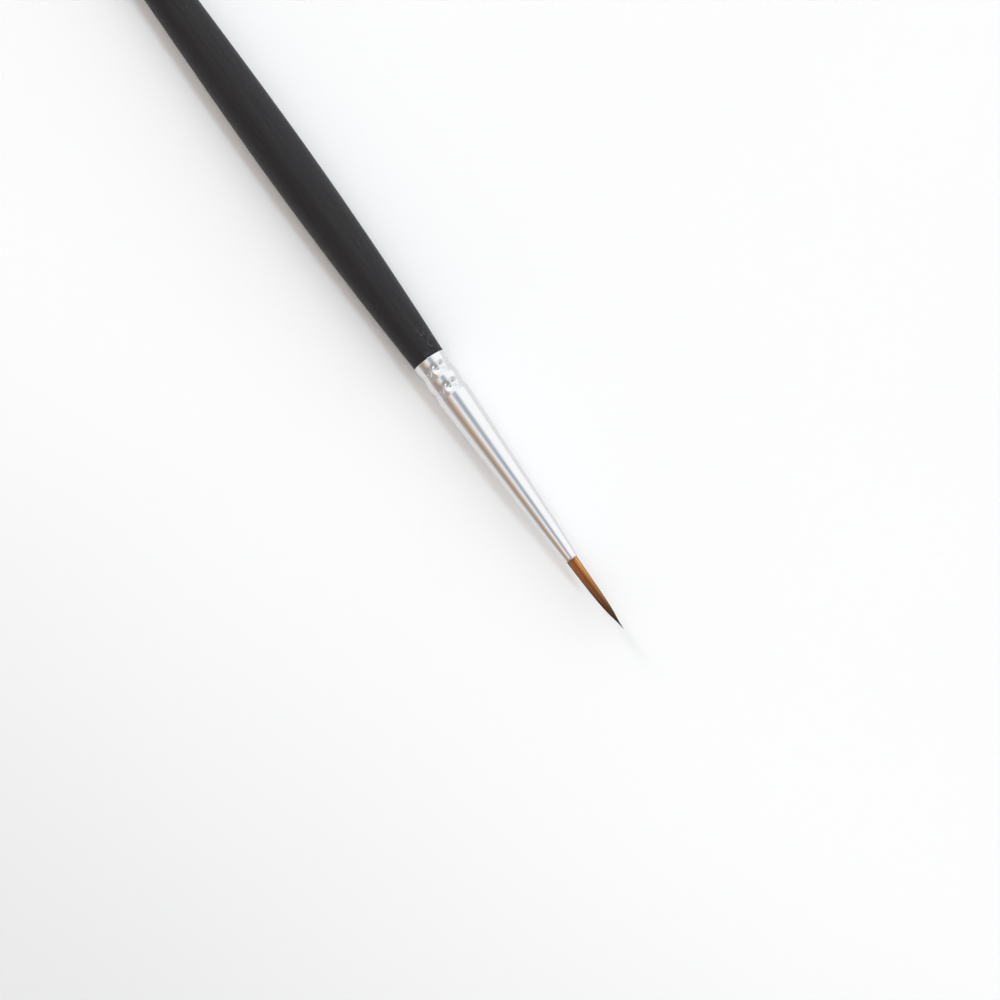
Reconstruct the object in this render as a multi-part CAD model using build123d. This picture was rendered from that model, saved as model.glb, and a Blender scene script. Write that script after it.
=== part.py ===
from build123d import *
import os
from math import cos, radians, sin

# A fine detail brush: a turned wooden handle with a matt lacquer coat, a seamless aluminium ferrule
# crimped onto the handle's tenon by two rings of dimples, and a pointed sable tuft that is tied with
# thread and set in cement inside the ferrule's nose.
#
# The brush is drawn along its own axis, in millimetres. A place along it, called u, is measured from
# the ferrule's rear edge and grows towards the hair tip. At the end every piece is moved so that the
# origin is in the middle of the ferrule's collar, where a holder or a protective tube takes the brush.
# +X runs along the axis towards the hair tip, and +Z is up.

# ---- driving dimensions -----------------------------------------------------------------------
HANDLE_LENGTH = 148.0      # tail to ferrule, outside the ferrule
FRONT_RADIUS = 1.9         # lacquered handle where it meets the ferrule
BELLY_RADIUS = 2.73        # thickest place of the handle
BELLY_SETBACK = 29.3       # from the ferrule back to the belly
TAIL_RADIUS = 1.15         # round end of the handle
BELLY_FULLNESS = 22.0      # how far the belly's level direction is held towards the tail
TAIL_FULLNESS = 60.0       # how far the tail's level direction is held towards the belly
LACQUER = 0.12             # thickness of the lacquer coat

FERRULE_LENGTH = 27.25
COLLAR_RADIUS = 1.94       # cylindrical rear of the ferrule, which carries the crimps
COLLAR_LENGTH = 4.8
CONE_END = 22.5            # where the straight cone turns into the rounded-in nose
CONE_END_RADIUS = 1.13
MOUTH_RADIUS = 0.79        # outside, at the hair end
FERRULE_WALL = 0.14
RIM = 0.05                 # rounding of the rear edge, and bevel of the front edge

CRIMP_CENTRES = (1.52, 3.88)
CRIMP_HALF_LENGTH = 0.74
CRIMP_DEPTH = 0.17         # annular groove between the dimples
DIMPLES = 12               # in each crimp
DIMPLE_DEPTH = 0.36        # from the collar's surface
DIMPLE_RADIUS = 0.38       # round nose of the crimping tool
DIMPLE_PHASE = 4.5         # degrees from straight up towards -Y, for the first dimple

TENON_LENGTH = 13.0        # handle inside the ferrule
TENON_CHAMFER = 0.3
GLUE_FILM = 0.05           # between tenon and ferrule
GLUE_ENDS = 0.2            # bare stretch at each end of the tenon

BUNDLE_BUTT = 17.1         # rear end of the hair, inside the ferrule
BUNDLE_RADIUS = 0.6        # tied part of the hair, inside the ferrule
HAIR_MOUTH_RADIUS = 0.625  # hair where it leaves the ferrule
HAIR_LENGTH = 9.5          # outside the ferrule
# the point's outline: share of the hair's length, share of its radius at the mouth
HAIR_PROFILE = ((0.3, 0.89), (0.6, 0.69), (0.78, 0.41), (0.9, 0.17), (1.0, 0.03))

THREAD = 0.12              # thickness of the binding thread
THREAD_TURNS = 7
THREAD_START = 18.2
THREAD_BITE = 0.05         # how deep the tie pulls into the bundle

CEMENT_BACK = 15.0
CEMENT_FRONT = 21.5

# ---- worked out from them -----------------------------------------------------------------------
TAPER = (COLLAR_RADIUS - CONE_END_RADIUS) / (CONE_END - COLLAR_LENGTH)
TAIL_CENTRE = -HANDLE_LENGTH + TAIL_RADIUS
HAIR_TIP = FERRULE_LENGTH + HAIR_LENGTH
THREAD_END = THREAD_START + THREAD * THREAD_TURNS


# ---- outlines, as lists of edges in the plane of u and radius ----------------------------------
def handle_outline(inset):
    """The handle from the tail's pole to the ferrule, moved inwards by inset."""
    tail = TAIL_RADIUS - inset
    belly = BELLY_RADIUS - inset
    dome = CenterArc((TAIL_CENTRE, 0), tail, 180, -90)
    back = Bezier(
        (TAIL_CENTRE, tail),
        (TAIL_CENTRE + TAIL_FULLNESS, tail),
        (-BELLY_SETBACK - BELLY_FULLNESS, belly),
        (-BELLY_SETBACK, belly),
    )
    front = TangentArc((-BELLY_SETBACK, belly), (0, FRONT_RADIUS - inset), tangent=(1, 0))
    return [dome, back, front]


def cone_radius(u, inset):
    """Radius of the ferrule's straight cone at u, moved inwards by inset."""
    return COLLAR_RADIUS - inset - (u - COLLAR_LENGTH) * TAPER


def collar_outline(inset, start):
    """The collar from start, with a shallow groove under each ring of dimples."""
    level = COLLAR_RADIUS - inset
    floor = level - CRIMP_DEPTH
    half = CRIMP_HALF_LENGTH
    edges = []
    u = start
    for centre in CRIMP_CENTRES:
        rear, front = centre - half, centre + half
        edges += [
            Line((u, level), (rear, level)),
            Bezier((rear, level), (rear + half / 2, level), (centre - half / 2, floor), (centre, floor)),
            Bezier((centre, floor), (centre + half / 2, floor), (front - half / 2, level), (front, level)),
        ]
        u = front
    return [*edges, Line((u, level), (COLLAR_LENGTH, level))]


def cone_outline(inset, end):
    """The straight cone from the collar to end."""
    return Line((COLLAR_LENGTH, COLLAR_RADIUS - inset), (end, cone_radius(end, inset)))


def nose_outline(inset):
    """The arc that rounds the cone in to the mouth."""
    start = (CONE_END, CONE_END_RADIUS - inset)
    return TangentArc(start, (FERRULE_LENGTH, MOUTH_RADIUS - inset), tangent=(1, -TAPER))


def hair_outline():
    """The bundle from its butt to the tip, waisted where the thread ties it."""
    waist = BUNDLE_RADIUS - THREAD_BITE
    root = Polyline(
        (BUNDLE_BUTT, BUNDLE_RADIUS),
        (THREAD_START - THREAD_BITE, BUNDLE_RADIUS),
        (THREAD_START, waist),
        (THREAD_END, waist),
        (THREAD_END + THREAD_BITE, BUNDLE_RADIUS),
        (FERRULE_LENGTH, HAIR_MOUTH_RADIUS),
    )
    point = [(FERRULE_LENGTH, HAIR_MOUTH_RADIUS)]
    for along, share in HAIR_PROFILE:
        point.append((FERRULE_LENGTH + along * HAIR_LENGTH, share * HAIR_MOUTH_RADIUS))
    return [*root.edges(), Spline(*point)]


# ---- solids --------------------------------------------------------------------------------------
def turned(edges):
    """Solid of revolution under an outline that runs along the axis."""
    first, last = edges[0] @ 0, edges[-1] @ 1
    closing = [Line((last.X, last.Y), (last.X, 0)), Line((last.X, 0), (first.X, 0))]
    if first.Y > 0:
        closing.append(Line((first.X, 0), (first.X, first.Y)))
    return revolve(make_face([*edges, *closing]), Axis.X)


def dimple_tools(growth):
    """The crimping tool's noses, all round both crimps, each larger by growth."""
    centre_radius = COLLAR_RADIUS - DIMPLE_DEPTH + DIMPLE_RADIUS
    tools = []
    for u in CRIMP_CENTRES:
        for i in range(DIMPLES):
            turn = radians(DIMPLE_PHASE + 360 / DIMPLES * i)
            place = Pos(u, -centre_radius * sin(turn), centre_radius * cos(turn))
            tools.append(place * Sphere(DIMPLE_RADIUS + growth))
    return tools


def make_handle_core():
    """Turned hardwood with its tenon, dented by the crimps."""
    film = FERRULE_WALL + GLUE_FILM
    cone = cone_outline(film, TENON_LENGTH - TENON_CHAMFER)
    end = cone @ 1
    chamfer = Line((end.X, end.Y), (TENON_LENGTH, end.Y - TENON_CHAMFER))
    shoulder = Line((0, FRONT_RADIUS - LACQUER), (0, COLLAR_RADIUS - film))
    core = turned([*handle_outline(LACQUER), shoulder, *collar_outline(film, 0), cone, chamfer])
    return core - dimple_tools(film)


def make_handle_lacquer():
    """The coat over everything outside the ferrule."""
    outside, inside = handle_outline(0), handle_outline(LACQUER)
    front = Line((0, FRONT_RADIUS), (0, FRONT_RADIUS - LACQUER))
    pole = Line((-HANDLE_LENGTH + LACQUER, 0), (-HANDLE_LENGTH, 0))
    return revolve(make_face([*outside, front, *inside, pole]), Axis.X)


def make_ferrule():
    """Drawn tube with a rounded rear edge, a broken front edge and two rings of pressed dimples."""
    rear_edge = RadiusArc((0, COLLAR_RADIUS - RIM), (RIM, COLLAR_RADIUS), RIM)
    nose = nose_outline(0)
    nose_share = 1 - RIM / (FERRULE_LENGTH - CONE_END)
    nose_end = nose @ nose_share
    front_edge = Line((nose_end.X, nose_end.Y), (FERRULE_LENGTH, nose_end.Y - RIM))
    outside = [
        rear_edge,
        *collar_outline(0, RIM),
        cone_outline(0, CONE_END),
        nose.trim(0, nose_share),
        front_edge,
    ]
    inside = [
        *collar_outline(FERRULE_WALL, 0),
        cone_outline(FERRULE_WALL, CONE_END),
        nose_outline(FERRULE_WALL),
    ]
    bore = turned(inside) - dimple_tools(FERRULE_WALL)
    return turned(outside) - dimple_tools(0) - bore


def make_tenon_glue(handle_core):
    """The film that fills the space between tenon and ferrule."""
    front = TENON_LENGTH - TENON_CHAMFER - GLUE_ENDS
    room = turned([*collar_outline(FERRULE_WALL, GLUE_ENDS), cone_outline(FERRULE_WALL, front)])
    return room - dimple_tools(FERRULE_WALL) - handle_core


def make_binding_thread():
    """Turns of thread, side by side, that tie the hair."""
    seat = BUNDLE_RADIUS - THREAD_BITE
    notch = seat + THREAD / 4
    turns = []
    for i in range(THREAD_TURNS):
        u = THREAD_START + i * THREAD
        turns.append(ThreePointArc((u, notch), (u + THREAD / 2, seat + THREAD), (u + THREAD, notch)))
    base = Polyline((THREAD_END, notch), (THREAD_END, seat), (THREAD_START, seat), (THREAD_START, notch))
    return revolve(make_face([*turns, *base.edges()]), Axis.X)


def make_root_cement(hair, thread):
    """Cement that locks the tied roots in the ferrule."""
    room = turned([
        Line(
            (CEMENT_BACK, cone_radius(CEMENT_BACK, FERRULE_WALL)),
            (CEMENT_FRONT, cone_radius(CEMENT_FRONT, FERRULE_WALL)),
        )
    ])
    return room - hair - thread


# ---- every piece in its file --------------------------------------------------------------------
def main():
    handle_core = make_handle_core()
    hair = turned(hair_outline())
    thread = make_binding_thread()
    pieces = {
        "handle_core": handle_core,
        "handle_lacquer": make_handle_lacquer(),
        "tenon_glue": make_tenon_glue(handle_core),
        "ferrule": make_ferrule(),
        "root_cement": make_root_cement(hair, thread),
        "binding_thread": thread,
        "hair_tuft": hair,
    }
    in_place = Pos(-COLLAR_LENGTH / 2, 0, 0)
    os.makedirs("parts", exist_ok=True)
    for name, piece in pieces.items():
        export_step(in_place * piece, f"parts/{name}.step")


main()
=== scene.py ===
# %% [markdown]
# # A fine detail brush, lying on white paper
#
# The real brush is a turned wooden handle dipped in matt black lacquer, a drawn aluminium ferrule
# crimped onto it by two rings of dimples, and a pointed tuft of sable hair. The solid model gives
# every size. This lesson gives each piece the finish that a hand would know it by: the drawn metal,
# the dull lacquer and the separate hairs.

# %% Load the fixed frame
import math

import bpy
from mathutils import Matrix, Vector


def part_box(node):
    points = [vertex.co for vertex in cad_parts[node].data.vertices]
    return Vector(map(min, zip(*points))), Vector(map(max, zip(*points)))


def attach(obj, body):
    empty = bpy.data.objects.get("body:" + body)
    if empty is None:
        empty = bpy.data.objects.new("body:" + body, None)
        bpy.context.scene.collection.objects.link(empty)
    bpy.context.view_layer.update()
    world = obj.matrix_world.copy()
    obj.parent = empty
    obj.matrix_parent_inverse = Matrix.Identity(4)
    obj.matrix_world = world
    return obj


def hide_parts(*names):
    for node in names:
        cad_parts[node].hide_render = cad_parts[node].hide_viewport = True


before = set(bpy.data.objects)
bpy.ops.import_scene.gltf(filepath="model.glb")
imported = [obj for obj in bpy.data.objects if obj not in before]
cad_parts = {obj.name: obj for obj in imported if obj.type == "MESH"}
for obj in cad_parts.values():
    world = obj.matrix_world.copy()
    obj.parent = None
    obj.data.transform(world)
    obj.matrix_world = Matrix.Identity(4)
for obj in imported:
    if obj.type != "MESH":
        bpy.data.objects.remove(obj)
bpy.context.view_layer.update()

MM = 0.001

# %% [markdown]
# ## The brush's own measures
#
# The brush lies along X, with its hair towards +X. Ends and widest places come from the solids, so
# this file follows when they change. The few other sizes are those that shape the outlines: how the
# handle swells, where the ferrule's cone ends, where its crimps are.

# %% Measures
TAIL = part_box("handle_lacquer")[0].x
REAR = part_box("ferrule")[0].x
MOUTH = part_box("ferrule")[1].x
HAIR_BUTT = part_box("hair_tuft")[0].x
HAIR_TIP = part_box("hair_tuft")[1].x
BELLY_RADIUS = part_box("handle_lacquer")[1].y
COLLAR_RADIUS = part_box("ferrule")[1].y

FRONT_RADIUS = 1.9 * MM      # of the handle, at the ferrule
TAIL_RADIUS = 1.15 * MM
LACQUER = 0.12 * MM
BELLY = REAR - 29.3 * MM
BELLY_FULLNESS = 22 * MM     # a longer one keeps the handle full for longer behind its belly
TAIL_FULLNESS = 60 * MM      # and this one keeps it slim for longer before its tail

COLLAR_END = REAR + 4.8 * MM
CONE_END = REAR + 22.5 * MM
CONE_END_RADIUS = 1.13 * MM
MOUTH_RADIUS = 0.79 * MM
WALL = 0.14 * MM
RIM = 0.05 * MM              # how far the edges of the tube are rounded
CRIMPS = (REAR + 1.52 * MM, REAR + 3.88 * MM)

HAIR_MOUTH_RADIUS = 0.625 * MM
HAIR_LENGTH = HAIR_TIP - MOUTH
print(f"handle {(REAR - TAIL) / MM:.1f} mm, ferrule {(MOUTH - REAR) / MM:.2f} mm")
print(f"hair {HAIR_LENGTH / MM:.2f} mm")

# %% [markdown]
# ## Where the table is
#
# A brush that is laid down touches the table with its belly and with its tail, so its axis rises a
# little towards the hair. The table is worked out from those two radii, and the floor and the camera
# are placed on it. The brush itself stays where the solid model has it.

# %% The table
TAIL_CENTRE = TAIL + TAIL_RADIUS
rise = math.asin((BELLY_RADIUS - TAIL_RADIUS) / (BELLY - TAIL_CENTRE))
along_table = Vector((math.cos(rise), 0, -math.sin(rise)))
across_table = Vector((0, 1, 0))
off_table = Vector((math.sin(rise), 0, math.cos(rise)))
foot = Vector((BELLY, 0, 0)) - off_table * BELLY_RADIUS
foot += along_table * (Vector((REAR, 0, 0)) - foot).dot(along_table)


def on_table(along, across, up):
    """A point measured on the table from below the ferrule's rear edge."""
    return foot + along_table * along + across_table * across + off_table * up


print(f"the brush rises by {math.degrees(rise):.2f} degrees")
print(f"the ferrule starts {(Vector((REAR, 0, 0)) - foot).length / MM:.2f} mm up")

# %% [markdown]
# ## Camera
#
# The brush is looked at almost straight down through a long lens, so that its sides stay parallel.
# The view leans a little, and the brush crosses it from the upper left to the lower right, with
# the handle running out of view.

# %% Camera
TURN = math.radians(54.75)
LEAN = math.radians(8)
DISTANCE = 0.6
VIEW_WIDTH = 0.11
LOOK_AT = on_table(17.24 * MM, -2.578 * MM, 3.0 * MM)

right = along_table * math.cos(TURN) + across_table * math.sin(TURN)
up_flat = -along_table * math.sin(TURN) + across_table * math.cos(TURN)
back = off_table * math.cos(LEAN) - up_flat * math.sin(LEAN)
up = up_flat * math.cos(LEAN) + off_table * math.sin(LEAN)

camera_data = bpy.data.cameras.new("camera")
camera_data.sensor_width = 36
camera_data.lens = camera_data.sensor_width * DISTANCE / VIEW_WIDTH
camera = bpy.data.objects.new("camera", camera_data)
bpy.context.scene.collection.objects.link(camera)
turned = Matrix((right, up, back)).transposed().to_4x4()
camera.matrix_world = Matrix.Translation(LOOK_AT + back * DISTANCE) @ turned
bpy.context.scene.camera = camera
bpy.context.scene.view_settings.view_transform = "Standard"
print(f"lens {camera_data.lens:.1f} mm")

# %% [markdown]
# ## Helpers for node trees
#
# Materials, light and Geometry Nodes are all trees of nodes. `place` adds one node and wires it in
# one line. `Field` wraps a socket so that a formula can be written as it is read: each sum or product
# becomes one Math node. The same two serve for metal, hair and light.

# %% Helpers for node trees
class Field:
    """A socket that can be added, multiplied and so on, with one Math node for each step."""

    def __init__(self, tree, socket):
        self.tree = tree
        self.socket = socket

    def math(self, operation, *others):
        node = self.tree.nodes.new("ShaderNodeMath")
        node.operation = operation
        for slot, value in zip(node.inputs, (self, *others)):
            wire(self.tree, value, slot)
        return Field(self.tree, node.outputs[0])

    def __add__(self, other):
        return self.math("ADD", other)

    def __sub__(self, other):
        return self.math("SUBTRACT", other)

    def __mul__(self, other):
        return self.math("MULTIPLY", other)

    def __truediv__(self, other):
        return self.math("DIVIDE", other)

    def __neg__(self):
        return self.math("MULTIPLY", -1)

    def eased(self, start, end, low=0, high=1, curve="SMOOTHSTEP"):
        """Runs from low at start to high at end, level outside them and soft between."""
        node = self.tree.nodes.new("ShaderNodeMapRange")
        node.interpolation_type = curve
        for slot, value in zip(node.inputs, (self, start, end, low, high)):
            wire(self.tree, value, slot)
        return Field(self.tree, node.outputs[0])


def wire(tree, value, slot):
    """Links a field or a socket to the slot, or sets a plain value on it."""
    if isinstance(value, Field):
        value = value.socket
    if isinstance(value, bpy.types.NodeSocket):
        tree.links.new(value, slot)
    else:
        slot.default_value = value


def place(tree, kind, **given):
    """A new node. Capitalised names are its inputs, with _ for a space; the rest are its settings."""
    node = tree.nodes.new(kind)
    for name, value in given.items():
        if name[0].islower():
            setattr(node, name, value)
    for name, value in given.items():
        if not name[0].islower():
            wire(tree, value, node.inputs[name.replace("_", " ")])
    return node


print("made Field, wire and place")

# %% [markdown]
# Colours are given as a screen shows them, from 0 to 255, because that is how an eye compares them.
# Light adds up on another scale, so `paint` converts them, and `blend` goes from one to another.

# %% Helpers for colours
def blend(tree, share, first, second):
    """A colour that goes from first to second."""
    node = place(tree, "ShaderNodeMix", data_type="RGBA")
    colours = [slot for slot in node.inputs if slot.type == "RGBA"]
    wire(tree, share, node.inputs[0])
    wire(tree, first, colours[0])
    wire(tree, second, colours[1])
    return [slot for slot in node.outputs if slot.type == "RGBA"][0]


def paint(red, green, blue):
    """The colour a screen shows as these three numbers from 0 to 255, as light."""
    shares = [value / 255 for value in (red, green, blue)]
    light = [x / 12.92 if x < 0.04045 else ((x + 0.055) / 1.055) ** 2.4 for x in shares]
    return (*light, 1)


print("white paper sends back", round(paint(252, 252, 252)[1], 3), "of the light")

# %% [markdown]
# ## Light
#
# Bright metal shows nothing of its own: it shows the room. A ferrule on a table under soft windows
# has long bands, a wide bright one, a slim blue-grey one and a warm brown one. The room here is
# painted by the angle across the brush, from the left horizon over the top to the right. The tube
# sees only a narrow belt of it, square to the brush, and that belt holds the bands.

# %% The belt that the ferrule sees
BELT = (
    (-180, (150, 150, 158)),
    (-96, (177, 176, 181)),
    (-82, (183, 177, 175)),
    (-73, (168, 155, 145)),
    (-64, (154, 134, 115)),
    (-50, (189, 159, 130)),
    (-37, (208, 198, 188)),
    (-29, (226, 224, 224)),
    (-22, (244, 244, 246)),
    (-16, (225, 227, 231)),
    (-9, (186, 192, 200)),
    (-2, (163, 172, 184)),
    (5, (159, 169, 181)),
    (12, (174, 182, 191)),
    (19, (216, 220, 225)),
    (26, (250, 250, 250)),
    (50, (254, 254, 254)),
    (96, (250, 252, 255)),
    (125, (224, 226, 232)),
    (180, (150, 150, 158)),
)
BELT_LEVEL = 1.29


def side_of_room(tree, angle, stops, level):
    """Light that depends on the angle across the brush, from stops of degrees and colours."""
    ramp = place(tree, "ShaderNodeValToRGB", Fac=angle / math.tau + 0.5)
    while len(ramp.color_ramp.elements) < len(stops):
        ramp.color_ramp.elements.new(0.5)
    for stop, (degrees, colour) in zip(ramp.color_ramp.elements, stops):
        stop.position = degrees / 360 + 0.5
        stop.color = colour
    shown = ramp.outputs["Color"]
    return place(tree, "ShaderNodeBackground", Color=shown, Strength=level).outputs[0]


world = bpy.data.worlds.new("room")
bpy.context.scene.world = world
world.use_nodes = True
room = world.node_tree
room.nodes.clear()
direction = place(room, "ShaderNodeTexCoord").outputs["Generated"]
towards = place(room, "ShaderNodeSeparateXYZ", Vector=direction)
across_angle = Field(room, towards.outputs["Y"]).math("ARCTAN2", towards.outputs["Z"])
along_angle = Field(room, towards.outputs["X"]).math("ARCSINE")
belt_stops = [(degrees, paint(*shown)) for degrees, shown in BELT]
belt = side_of_room(room, across_angle, belt_stops, BELT_LEVEL)
print(len(BELT), "stops across the belt")

# %% [markdown]
# The room towards the tail and the room towards the hair are plainer, and show in the sides of each
# dent. Both are dim on the left. Their light is warm from the left and from above, and cool from the
# right, as where lamps are on one side and daylight is on the other.

# %% The two ends of the room
TAIL_SIDE = (
    (-90, 0.40), (-24, 0.40), (-12, 0.89), (8, 0.89), (20, 0.96), (50, 0.94), (75, 0.85), (90, 0.70),
)
HAIR_SIDE = (
    (-90, 0.38), (-18, 0.38), (8, 0.38), (20, 0.86), (50, 0.86), (63, 0.56), (90, 0.45),
)
TAIL_LEVEL, HAIR_LEVEL = 1.3, 1.1
WARM, COOL = (1.0, 0.93, 0.87), (0.96, 0.98, 1.0)
COOL_FROM = 5                # degrees to the right of straight up
BELT_CENTRE = math.radians(-2)


def mixed(tree, share, first, second):
    """A shader that goes from first to second."""
    node = place(tree, "ShaderNodeMixShader", Fac=share)
    tree.links.new(first, node.inputs[1])
    tree.links.new(second, node.inputs[2])
    return node.outputs[0]


def tinted(stops):
    """Light at each of these levels, warm up to COOL_FROM and cool from there."""
    coloured = []
    for degrees, level in stops:
        tint = WARM if degrees < COOL_FROM else COOL
        coloured.append((degrees, (*(level * x for x in tint), 1)))
    return coloured


tail_side = side_of_room(room, across_angle, tinted(TAIL_SIDE), TAIL_LEVEL)
hair_side = side_of_room(room, across_angle, tinted(HAIR_SIDE), HAIR_LEVEL)
beyond_hair = along_angle.math("GREATER_THAN", BELT_CENTRE)
ends = mixed(room, beyond_hair, tail_side, hair_side)
print(len(TAIL_SIDE), "levels over the tail and", len(HAIR_SIDE), "over the hair")

# %% [markdown]
# Far back over the tail is a bright window, which lights the paper close to the brush on both sides.
# It is cut into the ends of the room, and the belt is laid over everything with a soft edge.

# %% The window, and the room put together
WINDOW_ACROSS = (math.radians(-9), math.radians(1))
WINDOW_ALONG = (math.radians(-68), math.radians(-50))
WINDOW_SOFT = math.radians(4)
WINDOW_LEVEL = 11.5
BELT_HALF = math.radians(10)
BELT_SOFT = math.radians(17)


def opening(angle, sides):
    """1 between the two sides of a window, with soft edges."""
    first, last = sides
    return angle.eased(first - WINDOW_SOFT, first) * angle.eased(last, last + WINDOW_SOFT, 1, 0)


window = place(room, "ShaderNodeBackground", Color=(*WARM, 1), Strength=WINDOW_LEVEL).outputs[0]
in_window = opening(across_angle, WINDOW_ACROSS) * opening(along_angle, WINDOW_ALONG)
ends = mixed(room, in_window, ends, window)
off_belt = (along_angle - BELT_CENTRE).math("ABSOLUTE").eased(BELT_HALF, BELT_SOFT)
place(room, "ShaderNodeOutputWorld", Surface=mixed(room, off_belt, belt, ends))
print("the room is", len(room.nodes), "nodes")

# %% [markdown]
# One lamp throws the shadow. It stands low beyond the hair and a little to the right, so the shadow
# runs back along the brush and shows as a slim band on its left. The lamp is as wide as a small
# window a few steps away, which softens the band's edge. It is a cool lamp in a warm room, so the
# shadow is warm. Lamp and room together light the table so that white paper is white.

# %% The key light
KEY_SIDE = math.radians(17.5)
KEY_ALONG = math.radians(58)
KEY_WIDTH = math.radians(5)
KEY_COLOUR = (0.83, 0.93, 1.0)
KEY_SHARE = 0.165            # of white, that the lamp alone gives to level paper
key_data = bpy.data.lights.new("key_light", "SUN")
key_data.angle = KEY_WIDTH
key_data.energy = KEY_SHARE * math.pi / (math.cos(KEY_SIDE) * math.cos(KEY_ALONG))
key_data.color = KEY_COLOUR
key = bpy.data.objects.new("key_light", key_data)
bpy.context.scene.collection.objects.link(key)
key_from = Vector((
    math.sin(KEY_ALONG),
    math.sin(KEY_SIDE) * math.cos(KEY_ALONG),
    math.cos(KEY_SIDE) * math.cos(KEY_ALONG),
))
key.rotation_mode = "QUATERNION"
key.rotation_quaternion = key_from.to_track_quat("Z", "Y")
print(f"key light from {tuple(round(x, 2) for x in key_from)}, strength {key_data.energy:.2f}")

# %% [markdown]
# ## Helpers for materials and meshes
#
# Every finish here starts as an empty material, reads places on the piece in metres, and ends in one
# Principled shader, which suits metal, lacquer and paper alike. A plain mesh is a list of points and
# of the faces between them.

# %% Helpers for materials and meshes
def new_material(name):
    """An empty material and its tree."""
    material = bpy.data.materials.new(name)
    material.use_nodes = True
    tree = material.node_tree
    tree.nodes.clear()
    return material, tree


def object_coordinates(tree, stretch=(1, 1, 1)):
    """Places on the piece in metres. A small share for an axis draws a pattern out along it."""
    own = place(tree, "ShaderNodeTexCoord").outputs["Object"]
    return place(tree, "ShaderNodeMapping", Vector=own, Scale=stretch).outputs[0]


def finish_with(tree, **inputs):
    """Ends the tree in one Principled shader with these inputs."""
    shader = place(tree, "ShaderNodeBsdfPrincipled", **inputs)
    place(tree, "ShaderNodeOutputMaterial", Surface=shader.outputs[0])


def plain_mesh(name, points, faces, material):
    """An object at the origin made of these points and faces."""
    mesh = bpy.data.meshes.new(name)
    mesh.from_pydata(points, [], faces)
    mesh.validate()
    mesh.materials.append(material)
    made = bpy.data.objects.new(name, mesh)
    bpy.context.scene.collection.objects.link(made)
    return made


print("made new_material, object_coordinates, finish_with and plain_mesh")

# %% [markdown]
# ## Paper
#
# The brush lies on smooth white paper. It is one large sheet, so that no edge shows from any side,
# with a very faint tooth. On the left, towards the hair, its colour is darkened by a slight painted
# shade, as paper looks away from a window. It is part of the stage and not of the brush.

# %% Paper
FLOOR_HALF = 4.0
# Where the painted shade on the paper is deepest, which way it fades out, and how deep it is.
PAINTED_SHADE_FROM = on_table(30 * MM, -79 * MM, 0)
PAINTED_SHADE_TOWARDS = Vector((-0.32, 0.94, 0))
PAINTED_SHADE_FULL, PAINTED_SHADE_GONE = -20 * MM, 72 * MM
PAINTED_SHADE_DEPTH = 0.19


def paper():
    material, tree = new_material("paper")
    own = object_coordinates(tree)
    tooth = place(tree, "ShaderNodeTexNoise", Vector=own, Scale=4000.0, Detail=3.0)
    relief = place(tree, "ShaderNodeBump", Height=tooth.outputs[0], Strength=0.05, Distance=0.02 * MM)
    cloud = place(tree, "ShaderNodeTexNoise", Vector=own, Scale=25.0, Detail=1.0)
    spot = place(tree, "ShaderNodeSeparateXYZ", Vector=own)
    # Painted shade: the paper's colour is darkened on the left, towards the hair, and fades out towards
    # the brush.
    onward = (Field(tree, spot.outputs["X"]) - PAINTED_SHADE_FROM.x) * PAINTED_SHADE_TOWARDS.x
    onward = onward + (Field(tree, spot.outputs["Y"]) - PAINTED_SHADE_FROM.y) * PAINTED_SHADE_TOWARDS.y
    shade = onward.eased(PAINTED_SHADE_FULL, PAINTED_SHADE_GONE, PAINTED_SHADE_DEPTH, 0)
    bright = blend(tree, cloud.outputs[0], paint(252, 252, 252), paint(254, 254, 254))
    tone = blend(tree, shade, bright, paint(0, 0, 0))
    finish_with(tree, Base_Color=tone, Roughness=0.9, Normal=relief.outputs[0], Specular_IOR_Level=0.1)
    return material


quarters = ((-1, -1), (1, -1), (1, 1), (-1, 1))
corners = [on_table(FLOOR_HALF * along, FLOOR_HALF * across, 0) for along, across in quarters]
floor = plain_mesh("paper_floor", corners, [(0, 1, 2, 3)], paper())
print("paper", 2 * FLOOR_HALF, "m square")

# %% [markdown]
# ## Lacquer on the handle
#
# The handle is dipped, so its coat follows the turned wood and ends in a thin edge at the ferrule.
# It is turned here as on a lathe: one closed outline, out along the coat's outside and back along
# its inside, swept round the axis. A lathe shape needs no modelling by hand, and its rings can be
# close where the tail is round and wide apart where the handle is nearly straight.

# %% Turning
SEGMENTS = 96
TAIL_RINGS, TAPER_RINGS, FRONT_RINGS = 16, 48, 24


def turn(name, outline, material):
    """A closed solid of revolution from an outline of places and radii, from one pole to the other."""
    points, faces, rings = [], [], []
    for x, radius in outline:
        count = SEGMENTS if radius > 0 else 1
        rings.append(range(len(points), len(points) + count))
        for step in range(count):
            angle = math.tau * step / SEGMENTS
            points.append((x, radius * math.sin(angle), radius * math.cos(angle)))
    for here, there in zip(rings, rings[1:]):
        for step in range(SEGMENTS):
            after = (step + 1) % SEGMENTS
            near, far = here[step % len(here)], there[step % len(there)]
            far_next, near_next = there[after % len(there)], here[after % len(here)]
            faces.append(list(dict.fromkeys((near, far, far_next, near_next))))
    made = plain_mesh(name, points, faces, material)
    made.data.shade_smooth()
    return made


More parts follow.
